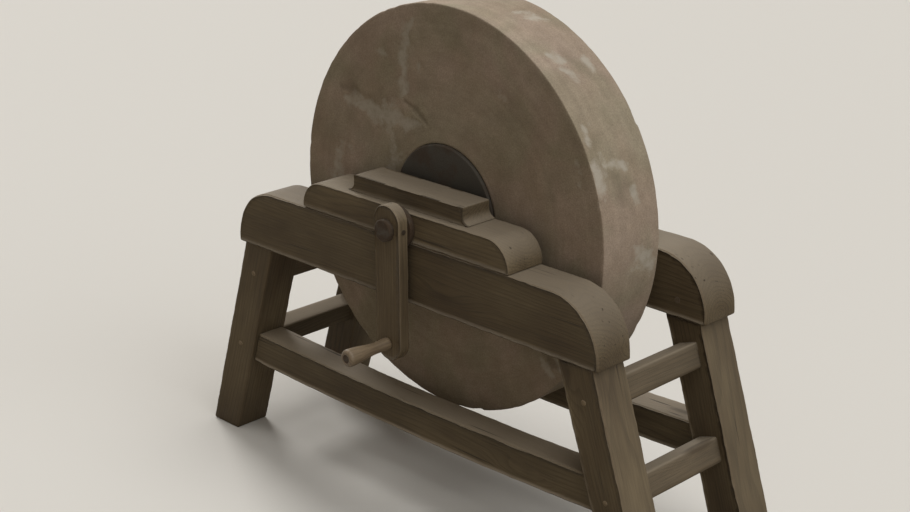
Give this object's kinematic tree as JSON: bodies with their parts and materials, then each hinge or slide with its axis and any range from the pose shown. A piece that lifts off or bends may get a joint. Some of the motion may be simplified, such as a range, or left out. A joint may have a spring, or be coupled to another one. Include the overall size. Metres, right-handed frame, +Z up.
{
  "type": "hand cranked grindstone",
  "caption": "Hand-cranked grindstone: a thick stone wheel on an iron axle, borne by wooden blocks on a splayed, pegged timber trestle, with a flat wooden crank and turned grip.",
  "frame": {"origin": "on the floor, straight below the middle of the axle, midway between the two side frames", "axes": "+X along the trestle, +Y along the axle away from the crank, +Z up"},
  "size_m": [1.0862, 0.4976, 0.876],
  "materials": {
    "frame_oak": "matte",
    "peg_oak": "matte",
    "crank_ash": "matte",
    "grip_ash": "satin",
    "sandstone": "matte",
    "cast_hub_iron": "matte",
    "forged_iron": "satin"
  },
  "bodies": {
    "stand": {"front_right_leg": "frame_oak", "front_left_leg": "frame_oak", "rear_right_leg": "frame_oak", "rear_left_leg": "frame_oak", "front_beam": "frame_oak", "rear_beam": "frame_oak", "front_stretcher": "frame_oak", "rear_stretcher": "frame_oak", "front_bearing_block": "frame_oak", "rear_bearing_block": "frame_oak", "front_bearing_cap": "frame_oak", "rear_bearing_cap": "frame_oak", "right_upper_rung": "frame_oak", "left_upper_rung": "frame_oak", "right_lower_rung": "frame_oak", "left_lower_rung": "frame_oak", "rung_pegs": "peg_oak", "leg_pegs": "peg_oak", "block_dowels": "peg_oak", "cap_dowels": "peg_oak"},
    "wheel": {"grindstone": "sandstone", "front_hub_plate": "cast_hub_iron", "rear_hub_plate": "cast_hub_iron", "hub_core": "peg_oak", "hub_key": "forged_iron", "hub_nuts": "forged_iron", "axle": "forged_iron", "front_thrust_washer": "forged_iron", "rear_thrust_washer": "forged_iron", "linchpin": "forged_iron", "crank_arm": "crank_ash", "crank_pin": "forged_iron", "handle_spindle": "forged_iron"},
    "handle": {"crank_handle": "grip_ash"}
  },
  "joints": [
    {"name": "stone_spin", "type": "hinge", "parent": "stand", "child": "wheel", "pos_m": [0, 0, 0.526], "axis": [0, 1, 0], "continuous": true},
    {"name": "handle_spin", "type": "hinge", "parent": "wheel", "child": "handle", "pos_m": [0, -0.2478, 0.326], "axis": [0, 1, 0], "continuous": true}
  ]
}
